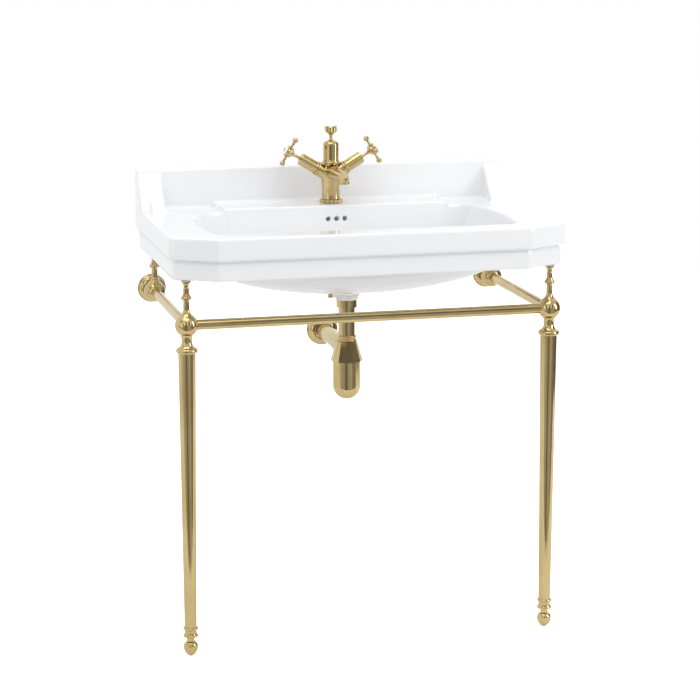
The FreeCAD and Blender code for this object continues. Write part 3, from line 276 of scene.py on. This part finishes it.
class GlazeSettings(bpy.types.PropertyGroup):
    """The basin's glaze, and the sizes of its softened and reshaped copy"""

    colour: bpy.props.FloatVectorProperty(
        name="Glaze",
        description="Colour of the glazed ceramic",
        default=(0.86, 0.865, 0.885),
        subtype="COLOR",
    )
    roughness: bpy.props.FloatProperty(
        name="Roughness",
        description="Roughness of the glaze",
        default=0.06,
        min=0.0,
        max=1.0,
        subtype="FACTOR",
    )
    grain: bpy.props.FloatProperty(
        name="Mesh grain",
        description="Mesh size of the softened basin",
        default=0.0024,
        subtype="DISTANCE",
        unit="LENGTH",
    )
    rounds: bpy.props.IntProperty(
        name="Softening",
        description="Rounds of smoothing on the basin's edges",
        default=6,
        min=0,
    )
    floor_level: bpy.props.FloatProperty(
        name="Floor level",
        description="Height of the bowl's floor at the drain",
        default=0.712,
        unit="LENGTH",
    )
    floor_thickness: bpy.props.FloatProperty(
        name="Floor thickness",
        description="Thickness of the floor before it is thinned",
        default=0.028,
        unit="LENGTH",
    )
    drain_place: bpy.props.FloatProperty(
        name="Drain place",
        description="Distance of the drain behind the basin's middle",
        default=0.015,
        unit="LENGTH",
    )
    roof_start: bpy.props.FloatProperty(
        name="Roof start",
        description="Height of the overflow passage's roof at the drain",
        default=0.6945,
        unit="LENGTH",
    )
    roof_slope: bpy.props.FloatProperty(
        name="Roof slope",
        description="Rise of the overflow passage's roof towards the wall",
        default=0.3242,
    )
    thinned: bpy.props.FloatProperty(
        name="Thinned",
        description="How much thinner the floor is away from the drain",
        default=0.012,
        unit="LENGTH",
    )
    dish: bpy.props.FloatProperty(
        name="Dish",
        description="Rise of the floor 240 mm to each side of the middle",
        default=0.028,
        unit="LENGTH",
    )
    mouth_half: bpy.props.FloatProperty(
        name="Half mouth",
        description="Half the length of the bowl's mouth",
        default=0.316,
        unit="LENGTH",
    )
    mouth_back: bpy.props.FloatProperty(
        name="Mouth's back",
        description="Place of the mouth's back edge",
        default=0.100,
        unit="LENGTH",
    )
    back_corner: bpy.props.FloatProperty(
        name="Back corner",
        description="Round of the mouth's back corners",
        default=0.076,
        unit="LENGTH",
    )
    step_level: bpy.props.FloatProperty(
        name="Step level",
        description="Height of the step below the upper band",
        default=0.7965,
        unit="LENGTH",
    )
    groove_height: bpy.props.FloatProperty(
        name="Groove height",
        description="Height of the groove under the upper band",
        default=0.009,
        unit="LENGTH",
    )
    groove_depth: bpy.props.FloatProperty(
        name="Groove depth",
        description="Depth of the groove under the upper band",
        default=0.004,
        unit="LENGTH",
    )
    ledge_half: bpy.props.FloatProperty(
        name="Half ledge",
        description="Half the length of the tap's ledge",
        default=0.240,
        unit="LENGTH",
    )


SETTINGS = {
    "sink_view": ViewSettings,
    "sink_stage": StageSettings,
    "sink_brass": BrassSettings,
    "sink_glaze": GlazeSettings,
}


# --- materials ---
def set_stops(ramp, stops):
    """Gives a colour ramp its stops, each a place and a colour."""
    elements = ramp.color_ramp.elements
    while len(elements) < len(stops):
        elements.new(0.5)
    for element, (place, colour) in zip(elements, stops):
        element.position = place
        element.color = (*colour, 1.0)


class NodeBuild:
    """Short calls for building one node material."""

    def __init__(self, name):
        self.material = bpy.data.materials.new(name)
        self.material.use_nodes = True
        self.tree = self.material.node_tree
        self.shader = self.tree.nodes["Principled BSDF"]
        self.coords = self.tree.nodes.new("ShaderNodeTexCoord").outputs["Object"]

    def put(self, **values):
        """Sets constants on the shader's own sockets."""
        for key, value in values.items():
            self.shader.inputs[key.replace("_", " ")].default_value = value

    def link(self, source, target):
        self.tree.links.new(source, self.shader.inputs[target])

    def noise(self, scale, detail=3.0, roughness=0.55, stretch=None):
        node = self.tree.nodes.new("ShaderNodeTexNoise")
        node.inputs["Scale"].default_value = scale
        node.inputs["Detail"].default_value = detail
        node.inputs["Roughness"].default_value = roughness
        source = self.coords
        if stretch:
            mapping = self.tree.nodes.new("ShaderNodeMapping")
            mapping.inputs["Scale"].default_value = stretch
            self.tree.links.new(source, mapping.inputs["Vector"])
            source = mapping.outputs["Vector"]
        self.tree.links.new(source, node.inputs["Vector"])
        return node.outputs["Fac"]

    def ramp(self, source, stops):
        node = self.tree.nodes.new("ShaderNodeValToRGB")
        set_stops(node, stops)
        self.tree.links.new(source, node.inputs["Fac"])
        return node.outputs["Color"]

    def spread(self, source, low, high, to_low, to_high):
        node = self.tree.nodes.new("ShaderNodeMapRange")
        for key, value in zip(("From Min", "From Max", "To Min", "To Max"), (low, high, to_low, to_high)):
            node.inputs[key].default_value = value
        self.tree.links.new(source, node.inputs["Value"])
        return node.outputs["Result"]

    def mottle(self, source, colour, darkest):
        """Lets the colour vary from a darker shade of itself to the full colour."""
        dark = [value * darkest for value in colour]
        self.link(self.ramp(source, [(NOISE_LOW, dark), (NOISE_HIGH, colour)]), "Base Color")

    def wear(self, source, roughness, least, most):
        """Lets the roughness vary between two multiples of its value."""
        low = roughness * least
        high = min(1.0, roughness * most)
        self.link(self.spread(source, NOISE_LOW, NOISE_HIGH, low, high), "Roughness")

    def bump(self, source, strength, distance):
        node = self.tree.nodes.new("ShaderNodeBump")
        node.inputs["Strength"].default_value = strength
        node.inputs["Distance"].default_value = distance
        self.tree.links.new(source, node.inputs["Height"])
        self.link(node.outputs["Normal"], "Normal")


def brass(settings, name):
    """Polished brass, clouded by darker patches, with fine lines round its turned forms."""
    build = NodeBuild(name)
    build.put(Metallic=1.0)
    cloud = build.noise(scale=9.0, detail=4.0, roughness=0.6)
    build.link(build.ramp(cloud, [(0.30, settings.deep), (0.62, settings.light)]), "Base Color")
    build.wear(build.noise(scale=34.0, detail=5.0), settings.roughness, least=0.75, most=1.35)
    lines = build.noise(scale=900.0, detail=2.0, roughness=0.5, stretch=(1.0, 1.0, 0.12))
    build.bump(lines, strength=0.05, distance=0.0002)
    return build.material


def glaze(settings, name, colour=None):
    """Glazed ceramic under a thin clear coat."""
    build = NodeBuild(name)
    build.put(IOR=1.52, Coat_Weight=0.25, Coat_Roughness=0.03)
    build.mottle(build.noise(scale=5.0), colour or settings.colour, darkest=0.985)
    build.wear(build.noise(scale=40.0), settings.roughness, least=0.8, most=1.3)
    build.bump(build.noise(scale=45.0, detail=2.0, roughness=0.45), strength=0.03, distance=0.0008)
    return build.material


def plain_rubber(name, colour, roughness):
    """Dull rubber with a fine grain."""
    build = NodeBuild(name)
    build.mottle(build.noise(scale=120.0, detail=4.0), colour, darkest=0.8)
    build.wear(build.noise(scale=260.0), roughness, least=0.85, most=1.1)
    build.bump(build.noise(scale=700.0), strength=0.12, distance=0.0003)
    return build.material


def dress(material, *names):
    """Gives carried-over nodes one material."""
    for name in names:
        slots = NODES[name].data.materials
        slots.clear()
        slots.append(material)


# --- meshes ---
def new_piece(name, mesh, body, material, node):
    """An object that rides on a body and replaces one node."""
    piece = bpy.data.objects.new(name, mesh)
    bpy.context.scene.collection.objects.link(piece)
    mesh.materials.clear()
    mesh.materials.append(material)
    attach(piece, body)
    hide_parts(node)
    return piece


def softened(node, name, body, material, grain, rounds, prepare=None):
    """A copy of a node's shape on an even mesh, with every edge and inner corner softened as in cast work."""
    mesh = NODES[node].data.copy()
    mesh.name = name
    build = bmesh.new()
    build.from_mesh(mesh)
    bmesh.ops.remove_doubles(build, verts=build.verts, dist=WELD)
    if prepare:
        prepare(build)
    build.to_mesh(mesh)
    build.free()
    piece = new_piece(name, mesh, body, material, node)
    remesh = piece.modifiers.new("even mesh", "REMESH")
    remesh.mode = "VOXEL"
    remesh.voxel_size = grain
    remesh.adaptivity = 0.0
    smooth = piece.modifiers.new("soft edges", "SMOOTH")
    smooth.factor = 0.5
    smooth.iterations = rounds
    bpy.context.view_layer.update()
    evaluated = piece.evaluated_get(bpy.context.evaluated_depsgraph_get())
    result = bpy.data.meshes.new_from_object(evaluated)
    result.name = name
    piece.modifiers.clear()
    piece.data = result
    bpy.data.meshes.remove(mesh)
    for polygon in result.polygons:
        polygon.use_smooth = True
    result.materials.clear()
    result.materials.append(material)
    return piece


def ease(value):
    """Smooth step from 0 to 1."""
    value = min(1.0, max(0.0, value))
    return value * value * (3.0 - 2.0 * value)


def lower_roof(build, settings):
    """Lowers the roof of the hidden passage, so that the even mesh keeps the thin floor above it whole."""
    for vertex in build.verts:
        x, y, z = vertex.co
        roof = settings.roof_start + settings.roof_slope * (y - settings.drain_place)
        if abs(x) < PASSAGE_HALF and PASSAGE_START < y < PASSAGE_END and abs(z - roof) < ROOF_NEAR:
            vertex.co.z = z - ROOF_DROP


def undercut(mesh, settings):
    """Deepens the inner corner under the upper band into a narrow groove."""
    normals = [normal.vector.copy() for normal in mesh.vertex_normals]
    for vertex, normal in zip(mesh.vertices, normals):
        x, y, z = vertex.co
        drop = (settings.step_level - z) / settings.groove_height
        canted = abs(x) > CANTED_SIDE and y < CANTED_FRONT
        outer = abs(x) > GROOVE_SIDE or y < GROOVE_FRONT or canted
        if not outer or y > GROOVE_BACK or not 0.0 < drop < 1.0:
            continue
        across = Vector((normal.x, normal.y, 0.0))
        if across.length > FACING_LEAST and across.dot(Vector((x, y, 0.0))) > 0.0:
            vertex.co -= across.normalized() * settings.groove_depth * math.sin(math.pi * drop)


def dished(x, y, z, settings):
    """The height of a point once the floor is dished, and thinned from below away from the drain's boss."""
    floor = settings.floor_level
    under = floor - settings.floor_thickness
    to_ends = settings.dish * (abs(x) / DISH_SIDE) ** DISH_POWER
    to_sides = STRIP_RISE * (max(0.0, abs(y - STRIP_MIDDLE) - STRIP_HALF) / STRIP_FADE) ** 2
    rise = min(RISE_MOST, to_ends + to_sides)
    share = 1.0 if z < RISE_FULL else 1.0 - ease((z - RISE_FULL) / RISE_FADE)
    along = min(BOSS_END, max(settings.drain_place, y))
    away = ease((math.hypot(x, y - along) - BOSS_RADIUS) / BOSS_FADE)
    thin = settings.thinned * away * (1.0 - ease((z - under) / (floor - under)))
    return z + away * rise * share + thin


def round_corner(side, y, settings):
    """Moves a point near the bowl's back corner so that the corner gets its broad round."""
    size = settings.back_corner
    u = (side - (settings.mouth_half - size)) / size
    v = (y - (settings.mouth_back - size)) / size
    reach = max(u, v)
    if u <= 0.0 or v <= 0.0 or reach > CORNER_REACH:
        return side, y
    edge_u, edge_v = (u, v) if reach <= 1.0 else (u / reach, v / reach)
    fade = 1.0 - ease((reach - 1.0) / CORNER_FADE)
    side -= size * fade * edge_u * (1.0 - math.sqrt(1.0 - edge_v * edge_v / 2))
    y -= size * fade * edge_v * (1.0 - math.sqrt(1.0 - edge_u * edge_u / 2))
    return side, y


def drawn_in(side, y, settings):
    """The place of a point once the mouth's ends, back and back corners are drawn in."""
    outside = max(side - MOUTH_HALF, MOUTH_FRONT - y, 0.0)
    near = ease(1.0 - outside / MOUTH_FADE) * ease((side - ENDS_START) / ENDS_FADE)
    side -= (MOUTH_HALF - settings.mouth_half) * near
    back = settings.mouth_back
    if side > settings.ledge_half - LEDGE_FADE and y > back:
        if y < MOUTH_BACK:
            drawn = back + (y - back) * BACK_SHARE
        else:
            drawn = BOWL_BACK - (BOWL_BACK - y) * (BACK_JOIN - back) / BACK_ROOM
        y += (drawn - y) * ease((side - settings.ledge_half + LEDGE_FADE) / LEDGE_FADE)
    if y > 0.0 and side > ENDS_START:
        side, y = round_corner(side, y, settings)
    return side, y


def reshape_bowl(mesh, settings):
    """Dishes the bowl's floor and draws in its mouth."""
    for vertex in mesh.vertices:
        x, y, z = vertex.co
        side = abs(x)
        if z > BOWL_TOP or y > BOWL_BACK or side > BOWL_SIDE:
            continue
        if z < RISE_TOP and RISE_FRONT < y < RISE_BACK and side < RISE_SIDE:
            vertex.co.z = dished(x, y, z, settings)
        side, y = drawn_in(side, y, settings)
        vertex.co.x = math.copysign(side, x)
        vertex.co.y = y
    mesh.update()


# --- stage ---
class RoomBuild:
    """Short calls for building the room that lights the object and that metal mirrors."""

    def __init__(self, name):
        self.world = bpy.data.worlds.new(name)
        self.world.use_nodes = True
        self.tree = self.world.node_tree
        self.tree.nodes.clear()
        coords = self.tree.nodes.new("ShaderNodeTexCoord")
        self.axes = self.tree.nodes.new("ShaderNodeSeparateXYZ")
        self.tree.links.new(coords.outputs["Generated"], self.axes.inputs["Vector"])

    def level(self, axis, stops):
        """A grey that depends on the direction along one axis."""
        place = self.tree.nodes.new("ShaderNodeMapRange")
        place.inputs["From Min"].default_value = -1.0
        self.tree.links.new(self.axes.outputs[axis], place.inputs["Value"])
        ramp = self.tree.nodes.new("ShaderNodeValToRGB")
        set_stops(ramp, [(position, (value, value, value)) for position, value in stops])
        self.tree.links.new(place.outputs["Result"], ramp.inputs["Fac"])
        return ramp.outputs["Color"]

    def background(self, strength):
        node = self.tree.nodes.new("ShaderNodeBackground")
        node.inputs["Strength"].default_value = strength
        return node

    def plain(self, strength, colour):
        node = self.background(strength)
        node.inputs["Color"].default_value = (*colour, 1.0)
        return node.outputs["Background"]

    def banded(self, strength, axis, stops):
        source = self.level(axis, stops)
        node = self.background(strength)
        self.tree.links.new(source, node.inputs["Color"])
        return node.outputs["Background"]

    def blend(self, factor, low, high):
        node = self.tree.nodes.new("ShaderNodeMixShader")
        self.tree.links.new(factor, node.inputs["Fac"])
        self.tree.links.new(low, node.inputs[1])
        self.tree.links.new(high, node.inputs[2])
        return node.outputs["Shader"]


def add_camera(scene, view):
    camera = bpy.data.objects.new("camera", bpy.data.cameras.new("camera"))
    scene.collection.objects.link(camera)
    camera.data.sensor_width = 36.0
    camera.data.lens = view.lens
    camera.data.shift_y = view.raised
    camera.data.clip_end = 60.0
    camera.location = view.place
    camera.rotation_euler = (math.pi / 2 - view.tilt, 0.0, -view.turn)
    scene.camera = camera


def add_room(scene, stage):
    """White for the camera, even light for dull surfaces and a room of dark and bright bands for metal."""
    build = RoomBuild("room")
    white = build.plain(1.0, stage.backdrop)
    even = build.banded(stage.room_light, "Z", EVEN_ROOM)
    low = build.banded(stage.mirrored, "X", FRONT_LOW)
    high = build.banded(FRONT_HIGH_GAIN * stage.mirrored, "X", FRONT_HIGH)
    front = build.blend(build.level("Z", LOW_TO_HIGH), low, high)
    ceiling = build.plain(CEILING_STRENGTH, (1.0, 1.0, 1.0))
    front = build.blend(build.level("Z", HIGH_TO_CEILING), front, ceiling)
    behind = build.banded(1.0, "X", BEHIND)
    mirrored = build.blend(build.level("Y", FRONT_TO_BEHIND), front, behind)
    path = build.tree.nodes.new("ShaderNodeLightPath")
    mixed = build.blend(path.outputs["Is Glossy Ray"], even, mirrored)
    mixed = build.blend(path.outputs["Is Transmission Ray"], mixed, white)
    mixed = build.blend(path.outputs["Is Camera Ray"], mixed, white)
    output = build.tree.nodes.new("ShaderNodeOutputWorld")
    build.tree.links.new(mixed, output.inputs["Surface"])
    scene.world = build.world


def add_floor(scene, stage):
    """A sheet of white paper that the camera sees nearly as white as the backdrop."""
    build = bmesh.new()
    bmesh.ops.create_grid(build, x_segments=8, y_segments=8, size=FLOOR_HALF)
    bmesh.ops.translate(build, verts=build.verts, vec=(0.0, FLOOR_SHIFT, 0.0))
    mesh = bpy.data.meshes.new("floor")
    build.to_mesh(mesh)
    build.free()
    floor = bpy.data.objects.new("floor", mesh)
    scene.collection.objects.link(floor)
    floor.location.z = FLOOR_HEIGHT
    surface = NodeBuild("floor_paper")
    surface.mottle(surface.noise(scale=3.0), stage.floor, darkest=0.995)
    surface.put(Roughness=0.9, Specular_IOR_Level=0.1)
    surface.put(Emission_Color=(*stage.backdrop, 1.0))
    seen = surface.tree.nodes.new("ShaderNodeLightPath").outputs["Is Camera Ray"]
    surface.link(surface.spread(seen, 0.0, 1.0, 0.0, stage.floor_glow), "Emission Strength")
    mesh.materials.append(surface.material)


def add_light(scene, name, place, size, power):
    lamp = bpy.data.lights.new(name, "AREA")
    lamp.energy = power
    lamp.shape = "RECTANGLE"
    lamp.size, lamp.size_y = size
    holder = bpy.data.objects.new(name, lamp)
    scene.collection.objects.link(holder)
    holder.location = place
    holder.rotation_euler = (LIGHT_AIM - Vector(place)).to_track_quat("-Z", "Y").to_euler()


# --- operators ---
class SINK_OT_stage(bpy.types.Operator):
    """Set the camera, the floor, the backdrop and the lights"""

    bl_idname = "sink.stage"
    bl_label = "Stage"

    def execute(self, context):
        scene = context.scene
        stage = scene.sink_stage
        scene.view_settings.view_transform = "Standard"
        add_camera(scene, scene.sink_view)
        add_room(scene, stage)
        add_floor(scene, stage)
        for name, place, size, power in LIGHTS:
            add_light(scene, name, place, size, getattr(stage, power))
        return {"FINISHED"}


class SINK_OT_basin(bpy.types.Operator):
    """Give the basin its soft cast edges, its dished bowl and its glaze"""

    bl_idname = "sink.basin"
    bl_label = "Basin"

    def execute(self, context):
        settings = context.scene.sink_glaze
        basin = softened(
            "basin",
            "basin_glazed",
            "sink",
            glaze(settings, "glaze"),
            grain=settings.grain,
            rounds=settings.rounds,
            prepare=lambda build: lower_roof(build, settings),
        )
        undercut(basin.data, settings)
        reshape_bowl(basin.data, settings)
        dress(plain_rubber("soft_pad", PAD_RUBBER, roughness=0.5), "support_pads")
        return {"FINISHED"}


class SINK_OT_stand(bpy.types.Operator):
    """Dress the legs, joints, rails, finials and wall flanges in brass"""

    bl_idname = "sink.stand"
    bl_label = "Stand"

    def execute(self, context):
        metal = brass(context.scene.sink_brass, "stand_brass")
        dress(metal, "front_rail", "finials")
        for side in SIDES:
            for part in STAND_PARTS:
                dress(metal, part + "_" + side)
        return {"FINISHED"}


class SINK_OT_tap(bpy.types.Operator):
    """Dress the tap, its valves, handles and lift knob, and soften the tap's body"""

    bl_idname = "sink.tap"
    bl_label = "Tap"

    def execute(self, context):
        metal = brass(context.scene.sink_brass, "tap_brass")
        white = glaze(context.scene.sink_glaze, "button_glaze", BUTTON_WHITE)
        black = plain_rubber("seal_rubber", BLACK_RUBBER, roughness=0.6)
        dress(metal, *TAP_METAL)
        for valve in VALVES:
            dress(metal, valve + "_bonnet", valve + "_spindle", valve + "_handle")
            dress(white, valve + "_index_disc", valve + "_seat_disc")
        dress(white, "lift_knob_disc")
        dress(black, "tap_base_seal", "tap_rubber_washer")
        softened("tap_body", "tap_casting", "sink", metal, grain=0.0008, rounds=5)
        return {"FINISHED"}


class SINK_OT_waste(bpy.types.Operator):
    """Dress the waste, its linkage and the trap"""

    bl_idname = "sink.waste"
    bl_label = "Waste and trap"

    def execute(self, context):
        dress(brass(context.scene.sink_brass, "trap_brass"), *WASTE_METAL)
        black = plain_rubber("washer_rubber", BLACK_RUBBER, roughness=0.6)
        dress(black, "waste_seal", "plug_seal", "bottle_seal")
        dress(plain_rubber("white_rubber", WHITE_RUBBER, roughness=0.55), "waste_gasket")
        return {"FINISHED"}


OPERATORS = (SINK_OT_stage, SINK_OT_basin, SINK_OT_stand, SINK_OT_tap, SINK_OT_waste)


class SINK_PT_panel(bpy.types.Panel):
    """Settings and steps of the console sink"""

    bl_idname = "SINK_PT_panel"
    bl_label = "Console Sink"
    bl_space_type = "VIEW_3D"
    bl_region_type = "UI"
    bl_category = "Console Sink"

    def draw(self, context):
        for key, group in SETTINGS.items():
            box = self.layout.box()
            for name in group.__annotations__:
                box.prop(getattr(context.scene, key), name)
        for operator in OPERATORS:
            self.layout.operator(operator.bl_idname)


def register():
    for key, group in SETTINGS.items():
        bpy.utils.register_class(group)
        setattr(bpy.types.Scene, key, bpy.props.PointerProperty(type=group))
    for operator in OPERATORS:
        bpy.utils.register_class(operator)
    bpy.utils.register_class(SINK_PT_panel)


def unregister():
    bpy.utils.unregister_class(SINK_PT_panel)
    for operator in reversed(OPERATORS):
        bpy.utils.unregister_class(operator)
    for key, group in SETTINGS.items():
        delattr(bpy.types.Scene, key)
        bpy.utils.unregister_class(group)


def main():
    register()
    for operator in OPERATORS:
        area, name = operator.bl_idname.split(".")
        getattr(getattr(bpy.ops, area), name)()


if __name__ == "__main__":
    main()
